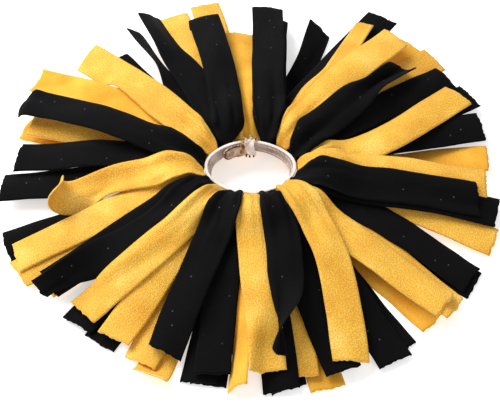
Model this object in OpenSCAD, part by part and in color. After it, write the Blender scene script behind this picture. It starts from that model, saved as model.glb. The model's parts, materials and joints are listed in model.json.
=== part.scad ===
// Fabric pom pom on an elastic loop.
// Cut strips of knit fabric are folded in half and sewn, fold inwards, round the outside of
// a loop of flat elastic. Two tiers of folded strips are stacked on the band, and each folded
// strip has a top leaf and an under leaf. Frame: +Z up, z = 0 is the surface that the pom pom
// lies on, and the Z axis runs through the middle of the loop.

/* [Elastic loop] */
// Outside length of the oval loop
loop_length = 46; // [42:0.5:50]
// Outside width of the oval loop
loop_width = 34; // [31:0.5:36]
// Radius of the oval's two ends, outside
end_r = 12.5; // [11.5:0.25:13.5]
// Width of the flat elastic, which stands on its edge
band_h = 7; // [7:0.25:9]
// Thickness of the flat elastic
band_t = 1.6; // [1.2:0.1:2]
// Height of the elastic's lower edge above the surface
band_z = 9; // [8:0.5:11]

/* [Strips] */
// Width of a cut strip
strip_w = 17; // [15:0.5:18]
// Thickness of the fabric
strip_t = 0.8; // [0.6:0.1:0.9]
// Length of a leaf, from the fold to its cut end
leaf_len = 100; // [85:1:115]
// Width of a strip where it is gathered at the fold
root_w = 6.2; // [5.6:0.1:6.6]
// Radius of the rolled fold
fold_r = 1.4; // [1.2:0.1:1.4]
// Clearance between a fold and the elastic
fold_gap = 0.9; // [0.8:0.1:1.2]

/* [Seams] */
// Length of one stitch
stitch_len = 2; // [1.5:0.1:2.2]
// Thickness of the thread
thread_d = 0.5; // [0.4:0.05:0.6]
// Stitches in each seam
stitches = 44; // [36:1:46]

/* [Joined ends] */
// Length of the elastic's inner end, which overlaps inside the loop
overlap_len = 12; // [9:0.5:14]
// Thickness of the sealed inner end
overlap_t = 1.8; // [1.4:0.1:2]
// Width of the wrap that binds the two ends
wrap_w = 4.4; // [3.5:0.1:5]
// Thickness of the wrap
wrap_t = 0.6; // [0.5:0.05:0.65]
// Turns of thread beside the wrap
wrap_turns = 3; // [2:1:3]

/* [Hidden] */
$fn = 96;

// One row for each strip: where its fold sits round the loop, in hundredths of the way
// counter-clockwise from +X; the directions of its [top leaf, under leaf], in degrees from +X;
// its colour; how much its top leaf's end is raised, and an upper strip's under leaf half as
// much; how much longer it is than leaf_len.
UPPER = [
    [0, [3, 28], "gold", 2, -2], [6.5, [46, 40], "black", 2, 0], [12.5, [58, 66], "gold", 5, 2],
    [18.5, [88, 84], "black", 3, 1], [33, [103, 118], "black", 2, 2], [40.5, [137, 149], "gold", 4, 2],
    [47, [161, 174], "black", 4, 0], [52.5, [188, 202], "gold", 1, -2], [58.5, [217, 214], "black", 1, 1],
    [64, [230, 236], "gold", 0, 0], [69.5, [250, 256], "black", 0, 0], [75, [270, 268], "gold", 1, 0],
    [81, [283, 284], "black", 3, -2], [87, [296, 319], "gold", 0, 1], [93.5, [351, 347], "black", 1, 0]
];
LOWER = [
    [2, [343, 4], "gold", 0, 2], [7.5, [17, 24], "black", 1, 3], [13, [37, 46], "gold", 2, 3],
    [18.5, [58, 70], "black", 3, 3], [24.5, [92, 101], "gold", 1, 5], [30.5, [113, 114], "gold", 1, 3],
    [36.5, [126, 127], "black", 0, 2], [43, [158, 161], "gold", 1, 3], [49.5, [183, 199], "black", 0, 1],
    [55.5, [211, 215], "gold", 0, 3], [61, [227, 233], "black", 0, 4], [66.5, [246, 249], "gold", 0, 4],
    [71.5, [261, 262], "black", 0, 1], [76.5, [276, 277], "black", 0, 4], [81.5, [289, 291], "gold", 0, 4],
    [86.5, [303, 304], "black", 0, 3], [91.5, [316, 318], "gold", 0, 3], [96.5, [331, 330], "black", 0, 3]
];

// Leaf heights: where it ends above the surface, and how far it arches over a straight line.
TOP_LEAF = [7, 9];
UNDER_LEAF = [4.8, 7];
LOW_TOP_LEAF = [2.6, 4.5];
lie_from = 0.62;           // share of the leaf length after which the lowest leaf lies flat
lift_max = 40;             // how far a strip turns from rest, in degrees
arch_turn = 12;            // how much further the arch turns a leaf's first half, in degrees
leaf_steps = 7;            // straight stretches along an arched leaf
tall = 80;                 // higher than any leaf
sink = 0.3;                // how far a leaf's root lies inside the rolled fold, all round
touch = 0.05;              // clearance between pieces that are fixed together

// The oval is drawn from two end arcs and two side arcs that meet without a corner.
end_x = loop_length / 2 - end_r;
side_drop = (end_x * end_x - pow(loop_width / 2 - end_r, 2)) / (2 * (loop_width / 2 - end_r));
side_r = loop_width / 2 + side_drop;
end_turn = atan2(side_drop, end_x);

upper_z = band_z + band_h - fold_r - 0.5;
lower_z = band_z + fold_r + 0.5;
rise = fold_r - strip_t / 2 - sink;

function rad(a) = a * PI / 180;
function fold_off() = fold_r + fold_gap;
// Point of the oval with this outward normal, moved outwards by off
function oval_point(a, off) =
    let (n = [cos(a), sin(a)])
    abs(n[0]) > cos(end_turn) ? [sign(n[0]) * end_x, 0] + (end_r + off) * n
                              : [0, -sign(n[1]) * side_drop] + (side_r + off) * n;
// Outward normal at a share u of the oval's length, counter-clockwise from +X
function quarter_len(off) = (end_r + off) * rad(end_turn) + (side_r + off) * rad(90 - end_turn);
function quarter_normal(t, off) =
    let (first = (end_r + off) * rad(end_turn))
    t < first ? t / (end_r + off) * 180 / PI
              : end_turn + (t - first) / (side_r + off) * 180 / PI;
function normal_at(u, off) =
    let (q = floor(u * 4), t = (u * 4 - q) * quarter_len(off))
    q % 2 == 0 ? q * 90 + quarter_normal(t, off)
               : (q + 1) * 90 - quarter_normal(quarter_len(off) - t, off);

// The direction that a strip's fold faces: half way between its leaves
function mean_dir(row) = row[1][0] + turn_between(row[1][1], row[1][0]) / 2;
function turn_between(a, b) = let (d = (a - b) % 360) d > 180 ? d - 360 : d < -180 ? d + 360 : d;
// Centre of strip i's fold in plan: outside the band, clear of it at both ends of the fold
function fold_point(row) =
    let (a = normal_at(row[0] / 100, fold_off()), skew = abs(sin(turn_between(mean_dir(row), a))))
    oval_point(a, fold_off() + root_w / 2 * skew);
// Turn to the next leaf on either side, which says how soon a leaf can have its full width
function side_room(rows, i) =
    let (n = len(rows), me = rows[i][1], before = rows[(i + n - 1) % n][1], after = rows[(i + 1) % n][1])
    min([for (m = me, o = concat(before, after)) abs(turn_between(m, o))]);
function full_at(rows, i) =
    min(80, (strip_w - root_w) / (rad(side_room(rows, i)) * cos(lift_max + arch_turn)));

// Height of a leaf's middle at s from the fold: a straight line from z0 to z1, plus an arch
function arched(s, len, z0, end, arch) = z0 + (end - z0) * s / len + 4 * arch * (s / len) * (1 - s / len);
// Height of the lowest leaf, which eases down to the surface and lies on it
function lying(s, len, z0) =
    let (t = min(1, s / (len * lie_from))) strip_t / 2 + (z0 - strip_t / 2) * (1 + cos(180 * t)) / 2;

function two(n) = n < 10 ? str("0", n) : str(n);
function upper_name(i) = str("upper_strip_", two(i + 1));
function lower_name(i) = str("lower_strip_", two(i + 1));
UPPERS = [for (i = [0 : len(UPPER) - 1]) upper_name(i)];
LOWERS = [for (i = [0 : len(LOWER) - 1]) lower_name(i)];

// ---- Elastic loop ----

// Filled oval, moved outwards by off
module oval(off) {
    cut_x = end_x + (end_r + off) * cos(end_turn);
    for (side = [-1, 1]) translate([side * end_x, 0]) circle(end_r + off);
    intersection() {
        translate([0, -side_drop]) circle(side_r + off);
        translate([0, side_drop]) circle(side_r + off);
        square([2 * cut_x, 2 * side_r], center = true);
    }
}

module elastic_band() {
    color("ivory") translate([0, 0, band_z]) linear_extrude(band_h) difference() {
        oval(0);
        oval(-band_t);
    }
}

// Part of the far side of the loop between x0 and x1, from off_in to off_out of its outer face
module far_side(x0, x1, off_in, off_out) {
    intersection() {
        translate([0, -side_drop]) difference() {
            circle(side_r + off_out);
            circle(side_r + off_in);
        }
        translate([x0, 0]) square([x1 - x0, loop_width]);
    }
}

// The heat-sealed inner end, pressed flat against the inside of the loop
module overlapped_end() {
    inset = 0.9;
    color("tan") translate([0, 0, band_z + inset]) linear_extrude(band_h - 2 * inset)
        far_side(-overlap_len - wrap_w / 2, wrap_w / 2, -band_t - overlap_t, -band_t - touch);
}

// A closed sleeve round both ends of the elastic, between x0 and x1
module sleeve(x0, x1, wall) {
    in = -band_t - overlap_t - touch;
    difference() {
        translate([0, 0, band_z - touch - wall]) linear_extrude(band_h + 2 * (touch + wall))
            far_side(x0, x1, in - wall, touch + wall);
        translate([0, 0, band_z - touch]) linear_extrude(band_h + 2 * touch)
            far_side(x0 - 1, x1 + 1, in, touch);
    }
}

module joint_wrap() {
    color("ivory") sleeve(-wrap_w / 2, wrap_w / 2, wrap_t);
}

module joint_thread() {
    pitch = thread_d + 0.2;
    color("tan") for (i = [1 : wrap_turns])
        sleeve(-wrap_w / 2 - i * pitch, -wrap_w / 2 - i * pitch + thread_d, thread_d * 0.8);
}

// ---- Seams ----

// One row of stitches on the inside of the band, left out where the overlapped end covers it
module seam(z) {
    for (i = [0 : stitches - 1]) {
        a = normal_at((i + 0.5) / stitches, -band_t);
        p = oval_point(a, -band_t);
        covered = p[1] > 0 && p[0] > -overlap_len - wrap_w && p[0] < wrap_w;
        if (!covered) translate([p[0], p[1], z]) rotate(a) rotate([90, 0, 0])
            cylinder(d = thread_d, h = stitch_len, center = true);
    }
}

module upper_seam() {
    color("linen") seam(upper_z);
}

module lower_seam() {
    color("linen") seam(lower_z);
}

// ---- Strips ----

// A leaf's outline seen from above: gathered at the fold, then its full width to the cut end
module leaf_plan(len, widens) {
    polygon([[0, sink - root_w / 2], [widens, -strip_w / 2], [len, -strip_w / 2],
             [len, strip_w / 2], [widens, strip_w / 2], [0, root_w / 2 - sink]]);
}

// A leaf from the side: heights is a list of [distance from the fold, height of its middle]
module leaf_side(heights) {
    n = len(heights) - 1;
    polygon(concat([for (h = heights) [h[0], h[1] + strip_t / 2]],
                   [for (i = [n : -1 : 0]) [heights[i][0], heights[i][1] - strip_t / 2]]));
}

module leaf(len, widens, heights) {
    intersection() {
        rotate([90, 0, 0]) linear_extrude(strip_w + 2, center = true) leaf_side(heights);
        linear_extrude(tall) leaf_plan(len, widens);
    }
}

// A folded strip: the rolled fold, and its two leaves
module strip(rows, i, z, top, under) {
    row = rows[i];
    p = fold_point(row);
    long = leaf_len + row[4];
    widens = full_at(rows, i);
    tint = row[2] == "gold" ? "goldenrod" : [0.12, 0.12, 0.14];
    color(tint) translate([p[0], p[1], 0]) {
        rotate(mean_dir(row)) translate([0, 0, z]) rotate([90, 0, 0])
            cylinder(r = fold_r, h = root_w, center = true);
        rotate(row[1][0]) leaf(long, widens, top);
        rotate(row[1][1]) leaf(long - 3, widens, under);
    }
}

module upper_strip(i) {
    long = leaf_len + UPPER[i][4];
    strip(UPPER, i, upper_z,
        [for (k = [0 : leaf_steps]) let (s = k * long / leaf_steps)
            [s, arched(s, long, upper_z + rise, TOP_LEAF[0] + UPPER[i][3], TOP_LEAF[1])]],
        [for (k = [0 : leaf_steps]) let (s = k * (long - 3) / leaf_steps)
            [s, arched(s, long, upper_z - rise, UNDER_LEAF[0] + UPPER[i][3] / 2, UNDER_LEAF[1])]]);
}

module lower_strip(i) {
    long = leaf_len + LOWER[i][4];
    strip(LOWER, i, lower_z,
        [for (k = [0 : leaf_steps]) let (s = k * long / leaf_steps)
            [s, arched(s, long, lower_z + rise, LOW_TOP_LEAF[0] + LOWER[i][3], LOW_TOP_LEAF[1])]],
        [for (s = concat([for (k = [0 : leaf_steps]) k * long * lie_from / leaf_steps], [long - 3]))
            [s, lying(s, long, lower_z - rise)]]);
}

elastic_band();
overlapped_end();
joint_wrap();
joint_thread();
upper_seam();
lower_seam();
for (i = [0 : len(UPPER) - 1]) upper_strip(i);
for (i = [0 : len(LOWER) - 1]) lower_strip(i);
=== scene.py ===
"""Fabric pom pom: cut strips of knit folded and sewn round a loop of flat elastic.

Every strip is one sheet of cloth, built as a grid that runs from the cut end of its top leaf,
round the fold at the loop, to the cut end of its under leaf. The leaves are laid down from
the lowest to the highest, and each one is lifted off whatever already lies beneath it.
"""

import json
import math
import bmesh
import bpy
import numpy as np
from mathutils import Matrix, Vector


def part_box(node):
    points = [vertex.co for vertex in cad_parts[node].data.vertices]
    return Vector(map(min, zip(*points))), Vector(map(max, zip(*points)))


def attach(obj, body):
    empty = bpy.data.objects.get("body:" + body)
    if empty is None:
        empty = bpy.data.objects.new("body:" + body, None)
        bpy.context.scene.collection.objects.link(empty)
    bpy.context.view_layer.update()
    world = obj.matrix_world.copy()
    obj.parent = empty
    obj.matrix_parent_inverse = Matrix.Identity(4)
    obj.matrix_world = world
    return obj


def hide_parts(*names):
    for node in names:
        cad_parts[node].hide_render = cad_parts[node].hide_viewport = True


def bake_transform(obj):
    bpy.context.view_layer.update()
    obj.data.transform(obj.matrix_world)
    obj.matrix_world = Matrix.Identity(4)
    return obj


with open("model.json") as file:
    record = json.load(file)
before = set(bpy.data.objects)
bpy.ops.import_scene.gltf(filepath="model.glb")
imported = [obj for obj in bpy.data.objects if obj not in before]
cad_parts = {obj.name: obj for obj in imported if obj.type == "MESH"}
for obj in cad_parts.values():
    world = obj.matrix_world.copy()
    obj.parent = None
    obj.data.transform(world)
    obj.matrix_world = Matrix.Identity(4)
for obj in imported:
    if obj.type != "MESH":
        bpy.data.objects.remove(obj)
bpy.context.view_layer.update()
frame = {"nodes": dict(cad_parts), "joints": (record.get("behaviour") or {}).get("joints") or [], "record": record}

MM = 0.001
record = frame["record"]

# ---------------------------------------------------------------- strips, from the frame

STRIP_W = 17 * MM          # width of a cut strip
CLOTH_T = 0.75 * MM        # thickness of the knit
ACROSS = 16                # cells across a strip
ALONG = 76                 # cells along a leaf
ROLL = 5                   # cells round the fold


def leaf_ends(node, fold):
    """The middle of each leaf's cut end: (top leaf, under leaf)."""
    co = np.array([v.co for v in frame["nodes"][node].data.vertices])
    far = np.hypot(co[:, 0] - fold[0], co[:, 1] - fold[1])
    ends = co[far > 0.93 * far.max()]
    middle = (ends[:, 2].min() + ends[:, 2].max()) / 2
    return [ends[ends[:, 2] > middle].mean(0), ends[ends[:, 2] <= middle].mean(0)]


SLOT_OF = {part["node"]: part["material_slot"] for part in record["subparts"]}


def read_strips():
    strips = []
    for joint in frame["joints"]:
        node = joint["child"]
        fold = np.array(joint["pos_m"], float)
        axis = np.array(joint["axis"], float)
        out = np.array([-axis[1], axis[0], 0.0])
        strips.append({"node": node, "fold": fold, "out": out,
                       "ends": leaf_ends(node, fold), "upper": node.startswith("upper"),
                       "colour": "gold" if "gold" in SLOT_OF[node] else "black"})
    return strips


STRIPS = read_strips()


def run_along(line):
    """How far along a line each of its points is, from the first."""
    return np.concatenate([[0], np.cumsum(np.linalg.norm(np.diff(line, axis=0), axis=1))])


def smooth(x, lo=0.0, hi=1.0):
    t = np.clip((x - lo) / (hi - lo), 0, 1)
    return t * t * (3 - 2 * t)


# ---------------------------------------------------------------- the elastic's outline

def hull(points):
    """Corners of the smallest convex outline round 2-D points, counter-clockwise."""
    pts = sorted({(round(float(x), 7), round(float(y), 7)) for x, y in points})

    def half(seq):
        out = []
        for p in seq:
            while len(out) > 1 and ((out[-1][0] - out[-2][0]) * (p[1] - out[-2][1])
                                    - (out[-1][1] - out[-2][1]) * (p[0] - out[-2][0])) <= 0:
                out.pop()
            out.append(p)
        return out[:-1]

    return np.array(half(pts) + half(pts[::-1]))


class Outline:
    """The outer edge of the elastic in plan, by distance along it, counter-clockwise."""

    def __init__(self, node):
        co = np.array([v.co for v in frame["nodes"][node].data.vertices])
        self.low, self.high = co[:, 2].min(), co[:, 2].max()
        ring = hull(co[:, :2])
        ring = np.concatenate([ring, ring[:1]])
        s = run_along(ring)
        self.length = s[-1]
        self.s = np.linspace(0, self.length, 721)
        self.xy = np.stack([np.interp(self.s, s, ring[:, k]) for k in (0, 1)], 1)
        loop = self.xy[:-1]
        ahead = np.roll(loop, -9, 0) - np.roll(loop, 9, 0)
        out = np.stack([ahead[:, 1], -ahead[:, 0]], 1)
        out /= np.linalg.norm(out, axis=1)[:, None]
        self.out = np.concatenate([out, out[:1]])

    def at(self, s, off=0.0):
        """Points at these distances along the edge, moved outwards by off, and the normals."""
        s = np.mod(s, self.length)
        out = np.stack([np.interp(s, self.s, self.out[:, k]) for k in (0, 1)], -1)
        xy = np.stack([np.interp(s, self.s, self.xy[:, k]) for k in (0, 1)], -1)
        return xy + out * np.asarray(off)[..., None], out

    def nearest(self, point):
        gap = np.linalg.norm(self.xy - np.asarray(point)[:2], axis=1)
        return self.s[int(np.argmin(gap))]


BAND = Outline("elastic_band")

# ---------------------------------------------------------------- how each leaf lies

# Heights in millimetres: of the middle of a gold leaf's cloth at the fold, and of the arch over
# a straight line. A leaf that is next in order starts one STEP_UP higher.
GROUPS = {"lower_under": (7.9, 1.5), "lower_top": (9.5, 4.0),
          "upper_under": (11.1, 5.8), "upper_top": (12.7, 8.6)}
STEP_UP = 0.8

# What is particular to a leaf, over its group. turn: degrees that its end lies counter-
# clockwise of the frame's; reach: how much longer it lies, in mm; tip: how much higher its end
# is; arch: added to the group's arch; side: how far its middle bows counter-clockwise, in mm;
# order: which lies on which within a group, low first; twist: [degrees, from, to], a turn about
# its own length between two shares of it; crown: how much it curls across, 1 down to -1 up;
# roll: [mm, degrees], its end rolled upwards (+) or under (-); open: how far from the fold it
# has its full width, in mm; face: whether the bright side is up; wave: how limp it lies;
# slide: how far its root is along the elastic from the fold, counter-clockwise, in mm.
LEAVES = {
    "upper_strip_01.0": {"turn": -7, "reach": -6, "tip": 2, "order": 0, "open": 22, "arch": -2,
                         "side": -2},
    "upper_strip_01.1": {"turn": 4, "reach": 3, "tip": 3, "wave": 1.3, "face": 1, "order": 2,
                         "side": -6, "open": 20},
    "upper_strip_02.0": {"turn": -1, "reach": -17, "tip": 2, "wave": 1.9, "open": 14,
                         "twist": [-46, 0.45, 0.75]},
    "upper_strip_02.1": {"turn": -5, "reach": 2, "tip": 1, "order": 1},
    "upper_strip_03.0": {"turn": -8, "reach": -7, "tip": 5, "open": 22},
    "upper_strip_03.1": {"turn": -4, "reach": -6, "tip": 4, "face": 1, "crown": 0.5,
                         "twist": [-58, 0.3, 0.62]},
    "upper_strip_04.0": {"turn": 2, "reach": -4, "open": 24},
    "upper_strip_04.1": {"turn": 4, "reach": -8},
    "upper_strip_05.0": {"turn": -3, "reach": -3, "tip": 6, "roll": [15, -165], "open": 10,
                         "side": -3, "crown": 0.45},
    "upper_strip_05.1": {"turn": -2, "reach": 2, "tip": 4, "twist": [45, 0.45, 0.8]},
    "upper_strip_06.0": {"reach": -11, "tip": 4, "crown": 0.1, "open": 20,
                         "twist": [-24, 0.1, 0.5]},
    "upper_strip_06.1": {"turn": 4, "reach": 4, "tip": 6, "crown": -0.5},
    "upper_strip_07.0": {"turn": -4, "reach": 2, "tip": 5, "roll": [9, -70], "open": 26,
                         "crown": 0.5},
    "upper_strip_07.1": {"turn": 2, "reach": -4, "tip": 3},
    "upper_strip_08.0": {"turn": 3, "reach": -17, "tip": -5, "order": 3,
                         "twist": [-30, 0.15, 0.6], "roll": [24, 165], "side": -4, "open": 20,
                         "arch": -1, "slide": 1.6},
    "upper_strip_08.1": {"turn": 5, "reach": 4, "face": 1, "tip": -1, "slide": 1.6},
    "upper_strip_09.0": {"reach": -3, "order": 1, "side": 6, "open": 24, "slide": 0.8,
                         "twist": [-80, 0.5, 1.0]},
    "upper_strip_09.1": {"turn": 1, "reach": -6, "slide": 0.8, "open": 24},
    "upper_strip_10.0": {"turn": -5, "reach": -9, "order": 2, "open": 58, "side": 3,
                         "crown": 0.4},
    "upper_strip_10.1": {"turn": 2, "reach": -5, "face": 1, "order": 2},
    "upper_strip_11.0": {"turn": -1, "reach": -10, "tip": 1, "order": 3, "open": 22},
    "upper_strip_11.1": {"turn": 8, "reach": -2},
    "upper_strip_12.0": {"turn": 5, "reach": -6, "open": 20},
    "upper_strip_12.1": {"turn": -2, "reach": 4, "tip": -1, "twist": [58, 0.3, 0.9],
                         "crown": 0.8},
    "upper_strip_13.0": {"turn": -10, "reach": -10, "tip": 2, "side": 5,
                         "twist": [122, 0.48, 1.04], "open": 22},
    "upper_strip_13.1": {"turn": 6, "reach": 4, "tip": -1},
    "upper_strip_14.0": {"turn": -8, "reach": -4, "tip": 1, "order": 3, "side": 7, "open": 22},
    "upper_strip_14.1": {"turn": 2, "tip": 1, "order": 2, "face": 1},
    "upper_strip_15.0": {"turn": 4, "reach": -11, "tip": 1, "open": 14, "arch": -3},
    "upper_strip_15.1": {"turn": 6, "reach": 2, "order": 1},
    "lower_strip_01.0": {"turn": -6, "tip": 1, "order": 2},
    "lower_strip_01.1": {"turn": 3, "reach": -3, "tip": 4, "side": 4},
    "lower_strip_02.0": {"turn": -3, "reach": -3, "tip": 3, "side": -2},
    "lower_strip_02.1": {"turn": 2, "reach": 4, "tip": 6},
    "lower_strip_03.0": {"turn": 1, "reach": 2, "tip": 3},
    "lower_strip_03.1": {"turn": 1, "reach": 2, "tip": 8},
    "lower_strip_04.0": {"turn": -4, "reach": 4, "tip": 8, "wave": 1.3},
    "lower_strip_04.1": {"turn": 1, "reach": -10, "tip": 5, "twist": [50, 0.3, 0.8]},
    "lower_strip_05.0": {"turn": 4, "reach": -26, "tip": 4, "arch": 6, "face": 0},
    "lower_strip_05.1": {"turn": 3, "reach": 5, "tip": 4, "face": 1},
    "lower_strip_06.0": {"turn": -3, "reach": -2, "tip": 3},
    "lower_strip_06.1": {"turn": -4, "reach": -6},
    "lower_strip_07.0": {"turn": -6, "reach": -10, "tip": 7, "wave": 1.6,
                         "twist": [60, 0.35, 0.7]},
    "lower_strip_07.1": {"turn": 3, "reach": -8},
    "lower_strip_08.0": {"turn": 6, "reach": -9, "tip": 4},
    "lower_strip_08.1": {"turn": 2, "reach": -2, "tip": 1},
    "lower_strip_09.0": {"turn": 1, "reach": -2, "tip": 4},
    "lower_strip_09.1": {"turn": 4, "reach": 4, "tip": 1},
    "lower_strip_10.0": {"turn": -2, "reach": -2, "tip": 1},
    "lower_strip_10.1": {"turn": 1, "reach": -6, "tip": 2},
    "lower_strip_11.0": {"turn": 1, "reach": -8, "tip": 1},
    "lower_strip_11.1": {"turn": 4, "reach": -5},
    "lower_strip_12.0": {"reach": -7, "tip": 1, "crown": 0.5},
    "lower_strip_12.1": {"turn": 1, "reach": 4, "face": 1, "roll": [16, 75]},
    "lower_strip_13.0": {"turn": -2, "reach": -3},
    "lower_strip_14.0": {"turn": 1, "reach": -3, "order": 3},
    "lower_strip_14.1": {"turn": 2, "reach": -1},
    "lower_strip_15.0": {"turn": -10, "reach": -8, "tip": 2},
    "lower_strip_15.1": {"turn": -6, "reach": 2, "crown": 0.6},
    "lower_strip_16.0": {"turn": -3},
    "lower_strip_17.0": {"turn": 3, "reach": -2, "tip": 1},
    "lower_strip_17.1": {"turn": -6, "reach": -2, "tip": 2, "twist": [40, 0.4, 0.8]},
    "lower_strip_18.0": {"turn": -4, "reach": -5, "tip": 1},
    "lower_strip_18.1": {"turn": -4},
}


def leaf_style(key, strip, which):
    base = {"turn": 0.0, "reach": 0.0, "side": 0.0, "tip": 0.0, "arch": 0.0,
            "order": 2 if strip["colour"] == "black" else 1, "twist": None, "crown": 0.2,
            "roll": None, "open": 15 if strip["colour"] == "black" else 24,
            "face": 1 if which == 0 else 0, "wave": 1.45, "slide": 0.0}
    base.update(LEAVES.get(key, {}))
    return base


ARC_T = np.linspace(0.001, 1.9, 200)
ARC_Q = np.sin(ARC_T) / ARC_T


def half_angle(q):
    """Half the angle of an arc whose chord is q times its length."""
    return np.interp(-np.asarray(q), -ARC_Q, ARC_T)


FOLD_INSET = 1.3 * MM      # from the frame's fold to where a centre line starts
KNEE = 0.34                # share of its reach over which a leaf leaves square to the elastic


def centre_line(strip, which, style, group):
    """Points down the middle of a leaf, from its fold to its cut end."""
    crown_z, arch = GROUPS[group]
    arch += style["arch"]
    out = strip["out"]
    start = strip["fold"] - out * FOLD_INSET
    start = start + np.array([-out[1], out[0], 0.0]) * style["slide"] * MM
    end = strip["ends"][which].copy()
    away = np.array([end[0] - start[0], end[1] - start[1], 0.0])
    reach = np.linalg.norm(away)
    away /= reach
    left = np.array([-away[1], away[0], 0.0])
    turn = math.radians(style["turn"])
    reach += style["reach"] * MM
    away = away * math.cos(turn) + left * math.sin(turn)
    left = np.array([-away[1], away[0], 0.0])
    end = np.array([start[0], start[1], end[2]]) + away * reach
    t = np.linspace(0, 1, 241)
    first = out * 0.3 + away * 0.7
    first /= np.linalg.norm(first)
    knee = start + first * reach * KNEE
    plan = (np.outer((1 - t) ** 2, start) + np.outer(2 * t * (1 - t), knee)
            + np.outer(t ** 2, end))
    plan += np.outer(np.sin(math.pi * t) * style["side"] * MM, left)
    above_gold = style["order"] - 1 if group == "upper_top" else strip["colour"] == "black"
    z0, z1 = (crown_z + STEP_UP * above_gold) * MM, end[2] + style["tip"] * MM
    if group == "lower_under":
        fall = smooth(t, 0.02, 0.66)
        z = z0 + (CLOTH_T * 0.6 - z0) * fall + arch * MM * np.exp(-((t - 0.16) / 0.12) ** 2)
        z += style["tip"] * MM * smooth(t, 0.6, 1.0)
    else:
        hump = t * (1 - t) * (1 + 0.9 * (1 - t)) * 2.9
        z = z0 + (z1 - z0) * t + arch * MM * hump
    line = plan.copy()
    line[:, 2] = z
    return line


def resample(line, rows):
    s = run_along(line)
    u = np.linspace(0, s[-1], rows)
    return np.stack([np.interp(u, s, line[:, k]) for k in range(3)], 1), u


def frames_along(line):
    tangent = np.gradient(line, axis=0)
    tangent /= np.linalg.norm(tangent, axis=1)[:, None]
    flat = tangent.copy()
    flat[:, 2] = 0
    flat /= np.linalg.norm(flat, axis=1)[:, None]
    side = np.stack([-flat[:, 1], flat[:, 0], np.zeros(len(flat))], 1)
    up = np.cross(tangent, side)
    return tangent, side, up


def value_noise(rng, size, cells):
    """Smooth noise over a grid of that many rows and columns, from -1 to 1."""
    coarse = rng.uniform(-1, 1, (cells[0] + 3, cells[1] + 3))
    r = np.linspace(0, cells[0], size[0])
    c = np.linspace(0, cells[1], size[1])

    def weights(x):
        i = np.floor(x).astype(int)
        f = x - i
        return i, [(1 - f) ** 3 / 6, (3 * f ** 3 - 6 * f ** 2 + 4) / 6,
                   (-3 * f ** 3 + 3 * f ** 2 + 3 * f + 1) / 6, f ** 3 / 6]

    ri, rw = weights(np.minimum(r, cells[0] - 1e-6))
    ci, cw = weights(np.minimum(c, cells[1] - 1e-6))
    total = np.zeros(size)
    for a in range(4):
        for b in range(4):
            total += rw[a][:, None] * cw[b][None, :] * coarse[(ri + a)[:, None], (ci + b)[None, :]]
    return total * 1.8


def roll_end(line, up, tangent, length, degrees):
    """The last stretch of a centre line, rolled into an arc."""
    s = run_along(line)
    start = np.searchsorted(s, s[-1] - length)
    if start >= len(s) - 2:
        return line
    t0, u0, p = tangent[start], up[start], line[start].copy()
    turn = math.radians(degrees)
    out = line.copy()
    for i in range(start + 1, len(s)):
        f = (s[i] + s[i - 1]) / 2 - s[start]
        a = turn * (f / length) ** 1.3
        p = p + (t0 * math.cos(a) + u0 * math.sin(a)) * (s[i] - s[i - 1])
        out[i] = p
    return out


ROOT_W = 6.1 * MM          # width of a strip where it is gathered at its fold
ROOT_OFF = 1.5 * MM        # from the elastic's outer face to the middle of the folded cloth
HUG = (0.5 * MM, 6 * MM)   # between these distances a leaf stops following the elastic
GATHER = (2.5 * MM, 12 * MM)   # and between these its gathers rise
GATHER_FADE = 22 * MM      # how soon they die away again
BIG_FOLD, SMALL_FOLD = 1.5 * MM, 0.6 * MM      # heights of the gathers, coarse and fine
CREASE = 0.16 * MM                             # height of the small creases everywhere
WANDER, EDGE_WAVE = 0.7 * MM, 0.22 * MM        # how far the middle and the cut sides stray
END_SLANT, END_WAVE, RAGGED = 1.4, 0.45 * MM, 0.3   # the cut end: slant, waves, rag (mm)


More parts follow.
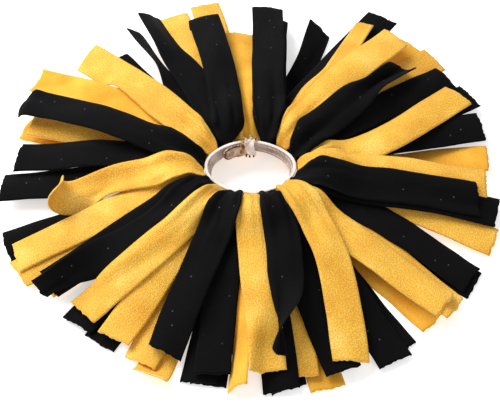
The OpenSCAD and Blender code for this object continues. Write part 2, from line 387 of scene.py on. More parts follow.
def build_leaf(strip, which, group, rng):
    """One leaf as a grid of points: rows from the fold to the cut end, columns across."""
    key = strip["node"] + (".0" if which == 0 else ".1")
    style = leaf_style(key, strip, which)
    line, u = resample(centre_line(strip, which, style, group), ALONG + 1)
    tangent, side, up = frames_along(line)
    if style["roll"]:
        line = roll_end(line, up, tangent, style["roll"][0] * MM, style["roll"][1])
        tangent = np.gradient(line, axis=0)
        tangent /= np.linalg.norm(tangent, axis=1)[:, None]
        up = np.cross(tangent, side)
    share = u / u[-1]
    full = STRIP_W * (1 - 0.10 * abs(style["crown"]) ** 1.5)
    opened = 1 - (1 - np.clip(u / (style["open"] * MM), 0, 1)) ** 2
    chord = ROOT_W + (full - ROOT_W) * opened
    width = np.minimum(STRIP_W, chord / 0.9)
    theta = half_angle(np.clip(chord / width, 0.55, 0.9995))
    v = np.linspace(-1, 1, ACROSS + 1)
    angle = theta[:, None] * v[None, :]
    radius = width / 2 / theta
    across = radius[:, None] * np.sin(angle)
    height = radius[:, None] * (np.cos(angle) - 1)
    if style["crown"] < 0:
        height = height * (1 - 2 * smooth(u, 20 * MM, 45 * MM)[:, None])
    # gathers that fan out from the fold, and the slow waves of a limp cut strip
    fold_wave = np.cos(math.pi * (v[None, :] * rng.uniform(1.6, 2.6) + rng.uniform(-1, 1)))
    gathered = smooth(u, *GATHER) * np.exp(-(u / GATHER_FADE) ** 1.5)
    height += fold_wave * (BIG_FOLD * gathered)[:, None]
    fine = np.cos(math.pi * (v[None, :] * rng.uniform(3.4, 4.6) + rng.uniform(-1, 1)))
    height += fine * (SMALL_FOLD * gathered)[:, None]
    wave = value_noise(rng, (ALONG + 1, ACROSS + 1), (5, 2))
    height += wave * style["wave"] * MM * smooth(u, 8 * MM, 45 * MM)[:, None]
    crease = value_noise(rng, (ALONG + 1, ACROSS + 1), (16, 4))
    height += crease * CREASE
    wander = value_noise(rng, (ALONG + 1, 1), (4, 1))
    across = across + wander * WANDER * smooth(u, 15 * MM, 60 * MM)[:, None]
    # the cut sides aren't quite straight, and neither is the cut end
    edge = value_noise(rng, (ALONG + 1, 2), (14, 1)) * EDGE_WAVE
    edge = edge[:, :1] * (v < 0) + edge[:, 1:] * (v > 0)
    across = across * (1 + edge * np.abs(v)[None, :] / (STRIP_W / 2))
    if style["twist"]:
        degrees, lo, hi = style["twist"]
        a = np.radians(degrees) * smooth(share, lo, hi)
        side, up = (side * np.cos(a)[:, None] + up * np.sin(a)[:, None],
                    up * np.cos(a)[:, None] - side * np.sin(a)[:, None])
    points = (line[:, None, :] + across[:, :, None] * side[:, None, :]
              + height[:, :, None] * up[:, None, :])
    near = 1 - smooth(u, *HUG)[:, None]
    here = BAND.nearest(strip["fold"]) + style["slide"] * MM
    hug, _ = BAND.at(here + across, ROOT_OFF + u[:, None] + 0 * across)
    points[:, :, :2] = points[:, :, :2] * (1 - near[:, :, None]) + hug * near[:, :, None]
    slant = rng.uniform(-END_SLANT, END_SLANT) * MM
    end_noise = value_noise(rng, (ACROSS + 1, 1), (5, 1))[:, 0] * END_WAVE
    ragged = rng.uniform(-RAGGED, RAGGED, ACROSS + 1) * MM
    shift = ((slant * v + end_noise)[None, :] * smooth(share, 0.82, 1.0)[:, None]
             + ragged[None, :] * smooth(share, 0.985, 1.0)[:, None])
    points += shift[:, :, None] * tangent[:, None, :]
    return {"key": key, "strip": strip, "which": which, "group": group, "style": style,
            "points": points, "u": u}


# ---------------------------------------------------------------- laying one on another

CELL = 0.6 * MM
HALF = 160 * MM
GRID_N = int(2 * HALF / CELL)
GAP, GAP_MORE = 1.15, 0.85  # height between two leaves' middles, in thicknesses: flat, steep
STEEP_TO = 14 * MM          # how far from the fold the leaves are steep
LIFT_FROM = 6 * MM          # from here on a leaf is lifted by all that it needs
ON_FLOOR = CLOTH_T * 0.6    # height of a leaf's middle where it lies on the floor
FINER = 5                   # points on a leaf for each that it is built from, each way
FOLD_SHARE = 0.02           # share of a leaf at the fold that others needn't clear


def bilinear(points, factor):
    """A finer grid over the same surface."""
    n, m = points.shape[:2]
    r = np.linspace(0, n - 1, (n - 1) * factor + 1)
    c = np.linspace(0, m - 1, (m - 1) * factor + 1)
    ri, ci = np.minimum(r.astype(int), n - 2), np.minimum(c.astype(int), m - 2)
    fr, fc = (r - ri)[:, None, None], (c - ci)[None, :, None]
    p = points
    return ((1 - fr) * (1 - fc) * p[ri][:, ci] + fr * (1 - fc) * p[ri + 1][:, ci]
            + (1 - fr) * fc * p[ri][:, ci + 1] + fr * fc * p[ri + 1][:, ci + 1])


def shifts(a, n, axis):
    """The array moved by up to n cells along an axis either way, with its edges carried on."""
    pad = [(0, 0), (0, 0)]
    pad[axis] = (n, n)
    p = np.pad(a, pad, mode="edge")
    return [np.take(p, range(k, k + a.shape[axis]), axis) for k in range(2 * n + 1)]


def shifted_max(a, n):
    """The largest value within n cells, along one axis and then the other."""
    for axis in (0, 1):
        a = np.max(shifts(a, n, axis), axis=0)
    return a


def soften(a, n, axis):
    """Running mean over 2n + 1 cells along an axis."""
    return np.mean(shifts(a, n, axis), axis=0)


def lay(leaves):
    """Lifts each leaf in turn clear of everything laid before it."""
    field = np.full((GRID_N, GRID_N), 0.0)
    for leaf in leaves:
        pts = leaf["points"]
        # cloth that rises steeply from the fold needs more height to clear the next by as much
        gap = CLOTH_T * (GAP + GAP_MORE * np.exp(-(leaf["u"] / STEEP_TO) ** 2))[:, None]
        low = shifted_max(field, 1)
        ix = np.clip(((pts[:, :, 0] + HALF) / CELL).astype(int), 0, GRID_N - 1)
        iy = np.clip(((pts[:, :, 1] + HALF) / CELL).astype(int), 0, GRID_N - 1)
        need = low[ix, iy]
        need = np.where(need > 0, need + gap, ON_FLOOR)
        short = np.maximum(0, need - pts[:, :, 2])
        short *= smooth(leaf["u"], 0.0, LIFT_FROM)[:, None]
        short = shifted_max(short, 2)
        for n, axis in ((2, 0), (2, 1), (3, 0)):
            short = soften(short, n, axis)
        pts[:, :, 2] += short
        fine = bilinear(pts, FINER)
        fx = np.clip(((fine[:, :, 0] + HALF) / CELL).astype(int), 0, GRID_N - 1)
        fy = np.clip(((fine[:, :, 1] + HALF) / CELL).astype(int), 0, GRID_N - 1)
        from_row = int(len(fine) * FOLD_SHARE)
        np.maximum.at(field, (fx[from_row:].ravel(), fy[from_row:].ravel()),
                      fine[from_row:, :, 2].ravel())
    return leaves


def all_leaves():
    leaves = []
    for n, strip in enumerate(STRIPS):
        tier = "upper" if strip["upper"] else "lower"
        for which in (0, 1):
            rng = np.random.RandomState(1000 + 10 * n + which)
            group = tier + ("_top" if which == 0 else "_under")
            leaves.append(build_leaf(strip, which, group, rng))
    rank = list(GROUPS)
    leaves.sort(key=lambda f: (rank.index(f["group"]), f["style"]["order"]))
    return lay(leaves)


# ---------------------------------------------------------------- meshes

def quads(n, m):
    """The numbers of a grid's points, n rows by m, and the corners of its faces."""
    idx = np.arange(n * m).reshape(n, m)
    corners = [idx[:-1, :-1], idx[1:, :-1], idx[1:, 1:], idx[:-1, 1:]]
    return idx, np.stack(corners, 2).reshape(-1, 4)


def place(name, data):
    """A new object in the scene with this mesh, light or camera."""
    ob = bpy.data.objects.new(name, data)
    bpy.context.scene.collection.objects.link(ob)
    return ob


def strip_sheet(strip, top, under, mats):
    """One closed sheet: its face, its reverse and the cut edges are three materials."""
    a, b = top["points"][::-1], under["points"]
    rows = [a]
    turn = []
    inward = a[-2] - a[-1]
    inward[:, 2] = 0
    inward /= np.linalg.norm(inward, axis=1)[:, None]
    for k in range(1, ROLL):
        f = k / ROLL
        ang = math.pi * f
        mid = a[-1] * (1 + math.cos(ang)) / 2 + b[0] * (1 - math.cos(ang)) / 2
        turn.append(mid - inward * 0.5 * MM * math.sin(ang))
    rows.append(np.array(turn))
    rows.append(b)
    grid = np.concatenate(rows, 0)
    n, m = grid.shape[:2]
    du = np.gradient(grid, axis=0)
    dv = np.gradient(grid, axis=1)
    normal = np.cross(du, dv)
    normal /= np.maximum(np.linalg.norm(normal, axis=2), 1e-12)[:, :, None]
    half = CLOTH_T / 2
    face, back = grid + normal * half, grid - normal * half
    if (normal[: ALONG // 2, :, 2]).mean() < 0:
        face, back = grid - normal * half, grid + normal * half
    verts = np.concatenate([face.reshape(-1, 3), back.reshape(-1, 3)], 0)
    idx, q = quads(n, m)
    flip = (normal[: ALONG // 2, :, 2]).mean() < 0
    top_faces = q[:, ::-1] if flip else q
    under_faces = (q if flip else q[:, ::-1]) + n * m
    loop = np.concatenate([idx[0, :], idx[1:, -1], idx[-1, -2::-1], idx[-2:0:-1, 0]])
    nxt = np.roll(loop, -1)
    rim = np.stack([loop, nxt, nxt + n * m, loop + n * m], 1)
    if flip:
        rim = rim[:, ::-1]
    faces = np.concatenate([top_faces, under_faces, rim], 0)
    mesh = bpy.data.meshes.new(strip["node"] + "_cloth")
    mesh.vertices.add(len(verts))
    mesh.vertices.foreach_set("co", verts.ravel())
    mesh.loops.add(len(faces) * 4)
    mesh.loops.foreach_set("vertex_index", faces.ravel())
    mesh.polygons.add(len(faces))
    mesh.polygons.foreach_set("loop_start", np.arange(0, len(faces) * 4, 4))
    mesh.polygons.foreach_set("loop_total", np.full(len(faces), 4))
    # the bright side is up on the top leaf; a leaf that was turned over has it the other way
    cells = np.zeros((n - 1, m - 1), int)
    if not top["style"]["face"]:
        cells[:ALONG] = 1
    if under["style"]["face"]:
        cells[-ALONG:] = 1
    index = np.concatenate([cells.ravel(), 1 - cells.ravel(), np.full(len(rim), 2)])
    # where each point lies on the flat strip, in metres
    run = run_along(grid[:, m // 2])
    cross = np.linspace(0, STRIP_W, m)
    flat_uv = np.stack(np.broadcast_arrays(run[:, None], cross[None, :]), 2).reshape(-1, 2)
    flat_uv = np.concatenate([flat_uv, flat_uv], 0)
    uv = mesh.uv_layers.new(name="cloth")
    uv.data.foreach_set("uv", flat_uv[faces.ravel()].ravel())
    mesh.update(calc_edges=True)
    mesh.validate()
    for m_name in mats:
        mesh.materials.append(MADE[m_name])
    mesh.polygons.foreach_set("material_index", index.astype(np.int32))
    mesh.shade_smooth()
    return place(strip["node"] + "_cloth", mesh), float(run[-1])


# ---------------------------------------------------------------- materials

MADE = {}        # this script's own materials: the frame has some under the same names


class Nodes:
    """Short names for building a material's node tree."""

    def __init__(self, name):
        self.mat = MADE[name] = bpy.data.materials.new(name)
        self.mat.use_nodes = True
        self.tree = self.mat.node_tree
        self.bsdf = self.tree.nodes["Principled BSDF"]

    def add(self, kind, **values):
        node = self.tree.nodes.new(kind)
        for k, v in values.items():
            setattr(node, k, v)
        return node

    def link(self, a, b):
        self.tree.links.new(a, b)

    def set(self, node, **values):
        for k, v in values.items():
            node.inputs[k.replace("_", " ")].default_value = v

    def coords(self, kind="UV"):
        return self.add("ShaderNodeTexCoord").outputs[kind]

    def noise(self, vector, scale, detail=2.0, rough=0.5):
        n = self.add("ShaderNodeTexNoise")
        self.link(vector, n.inputs["Vector"])
        n.inputs["Scale"].default_value = scale
        n.inputs["Detail"].default_value = detail
        n.inputs["Roughness"].default_value = rough
        return n.outputs["Fac"]

    def ramp(self, value, stops):
        r = self.add("ShaderNodeValToRGB")
        while len(r.color_ramp.elements) < len(stops):
            r.color_ramp.elements.new(0.5)
        for e, (pos, colour) in zip(r.color_ramp.elements, stops):
            e.position = pos
            e.color = (*colour, 1.0) if len(colour) == 3 else colour
        self.link(value, r.inputs["Fac"])
        return r.outputs["Color"]

    def math(self, op, a, b=None):
        m = self.add("ShaderNodeMath", operation=op)
        for i, x in enumerate((a, b)):
            if x is None:
                continue
            if isinstance(x, (int, float)):
                m.inputs[i].default_value = x
            else:
                self.link(x, m.inputs[i])
        return m.outputs[0]

    def mix(self, fac, a, b, mode="MIX"):
        m = self.add("ShaderNodeMix", data_type="RGBA", blend_type=mode)
        for sock, x in ((m.inputs[0], fac), (m.inputs[6], a), (m.inputs[7], b)):
            if isinstance(x, (int, float)):
                sock.default_value = x
            elif isinstance(x, tuple):
                sock.default_value = (*x, 1.0)
            else:
                self.link(x, sock)
        return m.outputs[2]

    def bump(self, height, strength, distance):
        b = self.add("ShaderNodeBump")
        b.inputs["Strength"].default_value = strength
        b.inputs["Distance"].default_value = distance
        self.link(height, b.inputs["Height"])
        self.link(b.outputs["Normal"], self.bsdf.inputs["Normal"])


def srgb(r, g, b):
    f = lambda c: c / 255 / 12.92 if c <= 10 else ((c / 255 + 0.055) / 1.055) ** 2.4
    return (f(r), f(g), f(b))


def knit_height(m, uv):
    """Fine V-shaped loops of a jersey knit: columns along the strip, courses across it."""
    sep = m.add("ShaderNodeSeparateXYZ")
    m.link(uv, sep.inputs[0])
    column = m.math("MULTIPLY", sep.outputs[1], 2 * math.pi / 0.0008)
    col = m.math("ABSOLUTE", m.math("SINE", m.math("MULTIPLY", column, 0.5)))
    lean = m.math("MULTIPLY", col, 1.8)
    course = m.math("SINE", m.math("ADD", m.math("MULTIPLY", sep.outputs[0],
                                                  2 * math.pi / 0.0007), lean))
    return m.math("ADD", m.math("MULTIPLY", col, 0.6), m.math("MULTIPLY", course, 0.4))


def gold_face():
    m = Nodes("gold_face")
    uv = m.coords("UV")
    where = m.coords("Object")
    cloud = m.noise(where, 55, 3)
    base = m.ramp(cloud, [(0.30, srgb(226, 160, 38)), (0.55, srgb(240, 182, 58)),
                          (0.75, srgb(250, 202, 92))])
    grain = m.noise(uv, 1450, 2, 0.7)
    speck = m.ramp(grain, [(0.34, (0.70, 0.67, 0.62)), (0.50, (1, 1, 1)),
                           (0.64, (1.55, 1.55, 1.8))])
    colour = m.mix(0.75, base, speck, "MULTIPLY")
    glint = m.ramp(m.noise(uv, 2300, 1, 0.6), [(0.62, (0, 0, 0)), (0.70, (1, 1, 1))])
    # painted glint: pale gold mixed into the colour at the glint spots, which are also made less rough
    colour = m.mix(m.math("MULTIPLY", glint, 0.42), colour, srgb(255, 236, 170))
    m.link(colour, m.bsdf.inputs["Base Color"])
    m.link(m.math("SUBTRACT", 0.66, m.math("MULTIPLY", glint, 0.3)), m.bsdf.inputs["Roughness"])
    m.set(m.bsdf, Sheen_Weight=0.35, Sheen_Roughness=0.45, Sheen_Tint=(*srgb(255, 226, 150), 1),
          Specular_IOR_Level=0.35)
    m.bump(m.math("ADD", knit_height(m, uv), m.math("MULTIPLY", grain, 1.6)), 0.55, 0.0002)


def gold_back():
    m = Nodes("gold_reverse")
    uv = m.coords("UV")
    cloud = m.noise(m.coords("Object"), 60, 3)
    base = m.ramp(cloud, [(0.3, srgb(230, 158, 40)), (0.7, srgb(250, 190, 66))])
    grain = m.noise(uv, 1100, 2, 0.6)
    speck = m.ramp(grain, [(0.35, (0.84, 0.84, 0.84)), (0.6, (1.08, 1.08, 1.08))])
    m.link(m.mix(0.7, base, speck, "MULTIPLY"), m.bsdf.inputs["Base Color"])
    m.set(m.bsdf, Roughness=0.8, Sheen_Weight=0.25, Sheen_Roughness=0.5,
          Sheen_Tint=(*srgb(255, 214, 120), 1), Specular_IOR_Level=0.25)
    m.bump(m.math("ADD", knit_height(m, uv), grain), 0.4, 0.00015)


def gold_edge():
    m = Nodes("gold_edge")
    grain = m.noise(m.coords("Object"), 1800, 3, 0.7)
    m.link(m.ramp(grain, [(0.3, srgb(226, 168, 60)), (0.6, srgb(252, 214, 122)),
                          (0.8, srgb(255, 236, 180))]), m.bsdf.inputs["Base Color"])
    m.set(m.bsdf, Roughness=0.9)
    m.bump(grain, 0.8, 0.0002)


def black_face(name, low, high, lint):
    m = Nodes(name)
    uv = m.coords("UV")
    cloud = m.noise(m.coords("Object"), 70, 3)
    base = m.ramp(cloud, [(0.3, srgb(*low)), (0.7, srgb(*high))])
    grain = m.noise(uv, 1300, 2, 0.7)
    speck = m.ramp(grain, [(0.35, (0.6, 0.6, 0.62)), (0.62, (1.35, 1.35, 1.4))])
    colour = m.mix(0.8, base, speck, "MULTIPLY")
    spots = m.add("ShaderNodeTexVoronoi")
    m.link(uv, spots.inputs["Vector"])
    spots.inputs["Scale"].default_value = 150
    fluff = m.ramp(spots.outputs["Distance"], [(0.035, (1, 1, 1)), (0.07, (0, 0, 0))])
    colour = m.mix(m.math("MULTIPLY", fluff, lint), colour, srgb(120, 122, 132))
    m.link(colour, m.bsdf.inputs["Base Color"])
    m.set(m.bsdf, Roughness=0.85, Sheen_Weight=0.02, Sheen_Roughness=0.4,
          Sheen_Tint=(*srgb(150, 155, 180), 1), Specular_IOR_Level=0.12)
    m.bump(m.math("ADD", knit_height(m, uv), m.math("MULTIPLY", grain, 1.2)), 0.5, 0.00018)


gold_face(), gold_back(), gold_edge()
black_face("black_face", (3, 3, 4), (6, 6, 8), 0.5)
black_face("black_reverse", (2, 2, 3), (5, 5, 6), 0.3)
black_face("black_edge", (12, 12, 15), (24, 24, 29), 0.3)


def ring_material(name, stops, rough, sheen, grain_scale, depth, spec=0.3):
    """Yarn or tape: clouded colour, and a grain that roughens it."""
    m = Nodes(name)
    where = m.coords("Object")
    m.link(m.ramp(m.noise(where, 260, 4, 0.6), stops), m.bsdf.inputs["Base Color"])
    m.set(m.bsdf, Roughness=rough, Sheen_Weight=sheen, Specular_IOR_Level=spec)
    m.bump(m.noise(where, grain_scale, 3, 0.6), 0.6, depth)


def elastic_material(name, stops):
    """Woven elastic: ribs across it and courses along it, with painted shade in their grooves,
    over a clouded colour; the inner wall's darker colour is painted shade.
    """
    m = Nodes(name)
    uv = m.coords("UV")
    sep = m.add("ShaderNodeSeparateXYZ")
    m.link(uv, sep.inputs[0])
    rib, course = (m.math("ABSOLUTE", m.math("SINE", m.math("MULTIPLY", out, math.pi / pitch)))
                   for out, pitch in zip(sep.outputs, (0.0009, 0.0007)))
    weave = m.math("ADD", m.math("MULTIPLY", rib, 0.7), m.math("MULTIPLY", course, 0.3))
    tone_and_painted_shade = m.ramp(m.noise(m.coords("Object"), 130, 4, 0.6), stops)
    # painted shade: the colour darkens where the weave's bump is low, in its grooves
    painted_groove_shade = m.ramp(weave, [(0.05, (0.80, 0.77, 0.75)), (0.45, (1, 1, 1))])
    m.link(m.mix(0.8, tone_and_painted_shade, painted_groove_shade, "MULTIPLY"), m.bsdf.inputs["Base Color"])
    m.set(m.bsdf, Roughness=0.75, Sheen_Weight=0.12)
    m.bump(weave, 0.5, 0.00012)


def sealed_material():
    """The melted end of the elastic: glossy, clouded tan."""
    m = Nodes("sealed_end")
    cloud = m.noise(m.coords("Object"), 380, 3, 0.6)
    m.link(m.ramp(cloud, [(0.32, srgb(112, 78, 56)), (0.48, srgb(174, 142, 118)),
                          (0.66, srgb(208, 184, 164))]), m.bsdf.inputs["Base Color"])
    m.set(m.bsdf, Roughness=0.34, Coat_Weight=0.3, Coat_Roughness=0.2)
    m.bump(cloud, 0.5, 0.0003)


elastic_material("elastic", [(0.30, srgb(222, 208, 200)), (0.52, srgb(240, 233, 228)),
                              (0.75, srgb(250, 247, 243))])
# painted shade: the inner wall's darker mauve-grey stands in for the shade inside the loop
elastic_material("elastic_inside", [(0.30, srgb(146, 124, 116)), (0.50, srgb(186, 166, 158)),
                                     (0.72, srgb(222, 208, 202))])
sealed_material()
ring_material("wrap", [(0.28, srgb(176, 148, 124)), (0.45, srgb(230, 216, 206)),
                       (0.75, srgb(250, 246, 242))], 0.8, 0.15, 1500, 0.0003)
ring_material("thread", [(0.36, srgb(60, 34, 14)), (0.48, srgb(150, 98, 38)),
                         (0.62, srgb(226, 178, 92))], 0.5, 0.2, 2400, 0.0001, 0.5)
ring_material("seam_thread", [(0.3, srgb(206, 186, 160)), (0.7, srgb(244, 234, 218))],
              0.6, 0.1, 2400, 0.0001)
ring_material("charred", [(0.3, srgb(24, 15, 10)), (0.7, srgb(70, 44, 24))],
              0.5, 0.0, 1500, 0.0002)

# ---------------------------------------------------------------- the elastic and its joint


def make_object(name, verts, faces, mats, uv=None, indices=None):
    mesh = bpy.data.meshes.new(name)
    mesh.from_pydata([tuple(map(float, p)) for p in np.asarray(verts)], [],
                     [tuple(map(int, f)) for f in faces])
    for mat in mats:
        mesh.materials.append(MADE[mat])
    if uv is not None:
        layer = mesh.uv_layers.new(name="cloth")
        for poly in mesh.polygons:
            for li in poly.loop_indices:
                layer.data[li].uv = uv[mesh.loops[li].vertex_index]
    if indices is not None:
        mesh.polygons.foreach_set("material_index", np.asarray(indices, np.int32))
    mesh.shade_smooth()
    mesh.update()
    return place(name, mesh)


def closed_sweep(rings):
    """Faces of a surface over rings of points, where both the rings and their row close."""
    n, m = rings.shape[:2]
    faces = []
    for i in range(n):
        for j in range(m):
            k, l = (i + 1) % n, (j + 1) % m
            faces.append((i * m + j, k * m + j, k * m + l, i * m + l))
    return rings.reshape(-1, 3), faces


def tube(path, radius, sides=8, closed=False):
    """A round thread along a path; an open one is closed by a point at each end."""
    path = np.asarray(path, float)
    if closed:
        tangent = np.roll(path, -1, 0) - np.roll(path, 1, 0)
    else:
        tangent = np.gradient(path, axis=0)
    tangent /= np.linalg.norm(tangent, axis=1)[:, None]
    ref = np.array([0.3, 0.2, 0.93])
    a = np.cross(tangent, ref)
    a /= np.linalg.norm(a, axis=1)[:, None]
    b = np.cross(tangent, a)
    ang = np.linspace(0, 2 * math.pi, sides, endpoint=False)
    radius = np.broadcast_to(radius, len(path))
    rings = (path[:, None] + radius[:, None, None] * (np.cos(ang)[None, :, None] * a[:, None]
                                                     + np.sin(ang)[None, :, None] * b[:, None]))
    n = len(path)
    faces = []
    for i in range(n if closed else n - 1):
        for j in range(sides):
            k, l = (i + 1) % n, (j + 1) % sides
            faces.append((i * sides + j, i * sides + l, k * sides + l, k * sides + j))
    verts = rings.reshape(-1, 3)
    if not closed:
        tips = [path[:1] - tangent[:1] * radius[0], path[-1:] + tangent[-1:] * radius[-1]]
        verts = np.concatenate([verts, *tips])
        for j in range(sides):
            l = (j + 1) % sides
            faces.append((n * sides, l, j))
            faces.append((n * sides + 1, (n - 1) * sides + j, (n - 1) * sides + l))
    return verts, faces


def join(parts):
    verts, faces, base = [], [], 0
    for v, f in parts:
        verts.append(v)
        faces += [tuple(i + base for i in q) for q in f]
        base += len(v)
    return np.concatenate(verts), faces


BAND_T = 1.6 * MM          # thickness of the elastic
WRAP_LOW, WRAP_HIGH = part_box("joint_wrap")
THREAD_LOW, THREAD_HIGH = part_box("joint_thread")
END_LOW, END_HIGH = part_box("overlapped_end")
JOINT_Y = (WRAP_LOW[1] - 0.5 * MM, WRAP_HIGH[1])   # from the opening to the far side
JOINT_Z = (WRAP_LOW[2], WRAP_HIGH[2])


def lean(out):
    """How far the elastic's lower edge leans in: most at the ends of the oval."""
    return (0.5 + 1.5 * out[..., 0] ** 2) * MM


def band_wall(s, inset, z):
    """A point on the leaning elastic: inset from its outer face, at height z."""
    _, out = BAND.at(s)
    share = (BAND.high - z) / (BAND.high - BAND.low)
    xy, _ = BAND.at(s, -inset - lean(out) * share)
    return np.concatenate([xy, np.broadcast_to(z, s.shape)[..., None]], -1)


def build_band():
    n = 520
    s = np.linspace(0, BAND.length, n, endpoint=False)
    r = 0.5 * MM
    half, top, low = BAND_T / 2, BAND.high - 0.1 * MM, BAND.low + 0.1 * MM
    profile = []
    for cx, cz, a0 in ((half - r, top - r, 0), (-half + r, top - r, 90),
                       (-half + r, low + r, 180), (half - r, low + r, 270)):
        for a in np.radians(np.linspace(a0, a0 + 90, 5)):
            profile.append((cx + r * math.cos(a), cz + r * math.sin(a)))
        if a0 in (90, 270):
            step = np.linspace(0, 1, 9)[1:-1]
            z0, z1 = (top - r, low + r) if a0 == 90 else (low + r, top - r)
            x = -half if a0 == 90 else half
            profile += [(x, z0 + (z1 - z0) * t) for t in step]
    profile = np.array(profile)
    rng = np.random.RandomState(7)
    phase = rng.uniform(0, 6.28, 6)
    swell = sum(np.sin(2 * math.pi * k * s / BAND.length + phase[k]) / k for k in range(2, 6))
    rings = []
    for x, z in profile:
        out_rib = 0.05 * MM * np.sin(2 * math.pi * s / (0.9 * MM)) * (abs(x) > half * 0.9)
        wavy = swell * 0.22 * MM * (z - low) / (top - low)
        rings.append(band_wall(s, half - x - out_rib * np.sign(x), z + wavy))
    rings = np.stack(rings, 1)
    verts, faces = closed_sweep(rings)
    run = run_along(profile)
    uv = [(float(a), float(b)) for a in s for b in run]
    # faces of the inner wall, which take the painted-shade colour
    inner = profile[:, 0] < -half * 0.95
    inside = np.tile(inner & np.roll(inner, -1), n)
    ob = make_object("elastic_woven", verts, faces, ["elastic", "elastic_inside"], uv=uv,
                     indices=inside)
    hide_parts("elastic_band")
    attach(ob, "loop")


STITCHES = 46              # round the whole loop
HIDDEN = (-19 * MM, 4 * MM)   # on the far side, the joint covers them between these x


def build_seam(node, seed):
    """Stitches on the inside of the band, each a short bowed thread."""
    low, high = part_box(node)
    z = (low[2] + high[2]) / 2
    rng = np.random.RandomState(seed)
    parts = []
    for k in range(STITCHES):
        s0 = BAND.length * (k + 0.5) / STITCHES
        xy, _ = BAND.at(np.array([s0]))
        if xy[0][1] > 0 and HIDDEN[0] < xy[0][0] < HIDDEN[1]:
            continue
        t = np.linspace(-1, 1, 7)
        s = s0 + t * 1.05 * MM
        bow = (1 - t ** 2) * 0.22 * MM - 0.06 * MM
        slant = t * rng.uniform(0.1, 0.3) * MM
        pts = band_wall(s, BAND_T + bow, z + slant + rng.uniform(-0.1, 0.1) * MM)
        parts.append(tube(pts, 0.2 * MM, 6))
    verts, faces = join(parts)
    ob = make_object(node + "_stitches", verts, faces, ["seam_thread"])
    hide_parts(node)
    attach(ob, "loop")


def far_s(x):
    """Distance along the outline of the point on the far side at this x."""
    x = np.atleast_1d(np.asarray(x, float))
    mask = BAND.xy[:, 1] > 5 * MM
    order = np.argsort(BAND.xy[mask][:, 0])
    return np.interp(x, BAND.xy[mask][order, 0], BAND.s[mask][order])


def far_y(x):
    """How far out the elastic's outer face is at this x, on the far side."""
    return BAND.at(far_s(x))[0][:, 1]


def build_sealed_end():
    """The melted inner end: a lozenge flat against the inside of the elastic, burnt round it."""
    na, nb = 120, 54
    rng = np.random.RandomState(21)
    bumps = value_noise(rng, (na + 1, nb + 1), (7, 4))
    fine = value_noise(rng, (na + 1, nb + 1), (20, 9))
    crust = value_noise(rng, (na + 1, nb + 1), (34, 14))
    x0, x1 = END_LOW[0] - 1.6 * MM, -0.8 * MM
    a = np.linspace(0, 1, na + 1)
    b = np.linspace(-1, 1, nb + 1)
    outline = np.clip(1 - np.abs(2 * a - 1) ** 2.6, 0, 1) ** (1 / 2.6)
    middle = (END_LOW[2] + END_HIGH[2]) / 2
    half_z = (END_HIGH[2] - END_LOW[2]) / 2 + 0.85 * MM
    z = middle + half_z * outline[:, None] * b[None, :] * (1 + 0.05 * bumps)
    s = far_s(x0 + (x1 - x0) * a)
    s2 = np.broadcast_to(s[:, None], z.shape)
    border = np.maximum(np.abs(2 * a - 1)[:, None] ** 3, np.abs(b)[None, :] ** 2.2)
    thick = 0.8 * MM * np.sqrt(np.clip(1 - border ** 2, 0, 1))
    ridge = 0.35 * MM * np.exp(-((border - 0.72) / 0.12) ** 2)
    mid = BAND_T + 1.55 * MM + 0.14 * (middle - z)
    rough = (0.3 * bumps + 0.1 * fine) * MM * (thick > 0)
    front = band_wall(s2, mid + thick + ridge + rough, z)
    back = band_wall(s2, mid - thick, z)
    _, q = quads(na + 1, nb + 1)
    at = (border + 0.13 * crust)[:-1, :-1].ravel()
    kind = np.where(at > 0.90, 0, np.where(at > 0.76, 1, np.where(at > 0.52, 2, 0)))
    verts = np.concatenate([front.reshape(-1, 3), back.reshape(-1, 3)])
    faces = [tuple(f) for f in q[:, ::-1]] + [tuple(f) for f in q + len(front.reshape(-1, 3))]
    ob = make_object("sealed_elastic_end", verts, faces, ["sealed_end", "charred", "thread"],
                     indices=np.concatenate([kind, 0 * kind]))
    weld(ob)
    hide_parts("overlapped_end")
    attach(ob, "loop")


def weld(ob, gap=0.00002):
    bm = bmesh.new()
    bm.from_mesh(ob.data)
    bmesh.ops.remove_doubles(bm, verts=bm.verts, dist=gap)
    bmesh.ops.recalc_face_normals(bm, faces=bm.faces)
    bm.to_mesh(ob.data)
    bm.free()
    ob.data.shade_smooth()


def round_bundle(t, grow):
    """A rounded oblong round the joined ends, seen from the side: t runs once round it."""
    cy, cz = sum(JOINT_Y) / 2, sum(JOINT_Z) / 2
    hy, hz = (JOINT_Y[1] - JOINT_Y[0]) / 2 + grow, (JOINT_Z[1] - JOINT_Z[0]) / 2 + grow
    c, s = np.cos(t), np.sin(t)
    p = 3.2
    k = (np.abs(c) ** p + np.abs(s) ** p) ** (-1 / p)
    return cy + hy * k * c, cz + hz * k * s


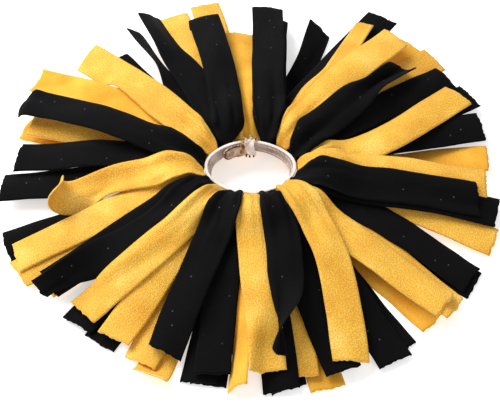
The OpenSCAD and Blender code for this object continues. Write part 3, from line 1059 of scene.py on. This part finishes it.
def build_wrap():
    """The strip of tape that binds the joint: a crumpled sleeve with frayed ends on top."""
    rows, cols = 15, 96
    rng = np.random.RandomState(33)
    t = np.linspace(0, 2 * math.pi, cols, endpoint=False)
    lumps = value_noise(rng, (rows, cols + 1), (4, 13))[:, :-1]
    creases = value_noise(rng, (rows, cols + 1), (7, 30))[:, :-1]
    blend = smooth(np.arange(cols), cols - 12, cols)[None, :]
    lumps = lumps * (1 - blend) + lumps[:, :1] * blend
    creases = creases * (1 - blend) + creases[:, :1] * blend
    surfaces = []
    for inner in (False, True):
        grow = (0.35 * MM + 0.42 * MM * lumps + 0.22 * MM * creases) - (0.45 * MM if inner else 0)
        y, z = round_bundle(t[None, :], grow)
        pinch = 0.7 * MM * np.sin(2 * t)[None, :]
        x = (np.linspace(WRAP_LOW[0], WRAP_HIGH[0], rows)[:, None]
             * (1.1 + 0.12 * np.sin(3 * t))[None, :] + pinch)
        edge = (np.abs(np.linspace(-1, 1, rows)) ** 8)[:, None]
        y = y + (sum(JOINT_Y) / 2 - y) * 0.05 * edge
        y = np.minimum(y, JOINT_Y[1] - (0.4 * MM if inner else 0))
        surfaces.append(np.stack([x + 0 * y, y, z], 2))
    outer, inner = surfaces
    rings = np.concatenate([outer, inner[::-1]], 0)
    verts, faces = closed_sweep(rings)
    ob = make_object("joint_tape", verts, faces, ["wrap"])
    weld(ob)
    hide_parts("joint_wrap")
    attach(ob, "loop")
    tufts, chars = [], []
    for x, y, dx, dy, dz, r in ((-1.4, 2.2, -2.2, 0.8, 3.6, 0.95), (-0.2, 3.0, 0.3, 2.0, 3.2, 0.8),
                                (1.4, 2.5, 1.7, 1.2, 2.4, 0.8), (-1.9, 1.0, -2.2, -0.2, 1.9, 0.7)):
        start = np.array([x * MM, JOINT_Y[0] + y * MM, JOINT_Z[1] - 0.3 * MM])
        step = np.linspace(0, 1, 12)[:, None]
        path = start + step * np.array([dx, dy, dz]) * MM + np.sin(step * 5 + x) * 0.25 * MM
        width = r * MM * (1 - 0.85 * step[:, 0] ** 1.4) * (1 + 0.2 * np.sin(step[:, 0] * 17 + x))
        tufts.append(tube(path, width, 9))
        chars.append(tube(path[-4:] + rng.uniform(-0.05, 0.05, 3) * MM, width[-4:] * 1.15, 8))
    for x, y, z, r in ((-2.1, 0.1, 0.5, 0.5), (-0.4, -0.1, 0.1, 0.45), (1.6, 0.0, 0.4, 0.5)):
        foot = np.array([0, JOINT_Y[0], JOINT_Z[0]])
        path = foot + np.array([[x, y, z + 0.5], [x + 0.1, y - 0.2, z], [x, y - 0.1, z - 0.6]]) * MM
        chars.append(tube(path, r * MM, 8))
    for name, parts, mat in (("joint_frayed_tips", tufts, "wrap"),
                             ("joint_charred_tips", chars, "charred")):
        extra = make_object(name, *join(parts), [mat])
        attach(extra, "loop")


def build_thread():
    """Turns of thread beside the tape, slanting over the sealed end."""
    t = np.linspace(0, 2 * math.pi, 80, endpoint=False)
    parts = []
    rng = np.random.RandomState(5)
    turns = 5
    for k in range(turns):
        y, z = round_bundle(t, rng.uniform(-0.1, 0.1) * MM)
        slant = 0.5 * MM * np.cos(t + 0.5) + 0.3 * MM * np.sin(t)
        middle = THREAD_HIGH[0] + (THREAD_LOW[0] - THREAD_HIGH[0]) * (k + 0.5) / turns * 1.3
        x = middle + slant * rng.uniform(0.7, 1.2)
        y += far_y(x) - far_y(0.0)
        parts.append(tube(np.stack([x, y, z], 1), 0.25 * MM, 8, closed=True))
    verts, faces = join(parts)
    ob = make_object("joint_thread_turns", verts, faces, ["thread"])
    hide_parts("joint_thread")
    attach(ob, "loop")


build_band()
build_seam("upper_seam", 3)
build_seam("lower_seam", 4)
build_sealed_end()
build_wrap()
build_thread()

# ---------------------------------------------------------------- put it together

FINISH = {"gold": ["gold_face", "gold_reverse", "gold_edge"],
          "black": ["black_face", "black_reverse", "black_edge"]}
by_key = {leaf["key"]: leaf for leaf in all_leaves()}
for strip in STRIPS:
    node = strip["node"]
    ob, run = strip_sheet(strip, by_key[node + ".0"], by_key[node + ".1"],
                          FINISH[strip["colour"]])
    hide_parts(node)
    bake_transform(ob)

# ---------------------------------------------------------------- floor, light, camera


def floor():
    mesh = bpy.data.meshes.new("floor")
    r, z = 3.0, -0.0002
    mesh.from_pydata([(-r, -r, z), (r, -r, z), (r, r, z), (-r, r, z)], [], [(0, 1, 2, 3)])
    m = Nodes("floor")
    shade = m.ramp(m.noise(m.coords("Object"), 6, 2), [(0.3, (0.86, 0.86, 0.86)),
                                                       (0.7, (0.9, 0.9, 0.9))])
    m.link(shade, m.bsdf.inputs["Base Color"])
    m.set(m.bsdf, Roughness=0.9, Emission_Color=(1, 1, 1, 1), Emission_Strength=0.5)
    mesh.materials.append(m.mat)
    ob = place("floor", mesh)


def area_light(name, where, size, power, colour=(1, 1, 1)):
    data = bpy.data.lights.new(name, "AREA")
    data.shape = "DISK"
    data.size = size
    data.energy = power
    data.color = colour
    ob = place(name, data)
    ob.location = where
    ob.rotation_euler = (-Vector(where)).to_track_quat("-Z", "Y").to_euler()


floor()
area_light("key", (-0.58, 0.42, 0.72), 0.85, 13)
area_light("fill", (0.35, -0.9, 0.7), 1.0, 2.5)
world = bpy.data.worlds.new("studio")
world.use_nodes = True
world.node_tree.nodes["Background"].inputs["Color"].default_value = (1, 1, 1, 1)
world.node_tree.nodes["Background"].inputs["Strength"].default_value = 0.46
bpy.context.scene.world = world
bpy.context.scene.view_settings.view_transform = "Standard"

ELEVATION = 52.0
DISTANCE = 0.70
AIM_DOWN = 1.301
camera_data = bpy.data.cameras.new("camera")
camera_data.sensor_width = 36
camera_data.lens = 100.8
camera_data.clip_start = 0.01
camera = place("camera", camera_data)
e = math.radians(ELEVATION)
camera.location = (-0.0002, -DISTANCE * math.cos(e), 0.013 + DISTANCE * math.sin(e))
camera.rotation_euler = (math.radians(90 - ELEVATION - AIM_DOWN), 0, 0)
bpy.context.scene.camera = camera
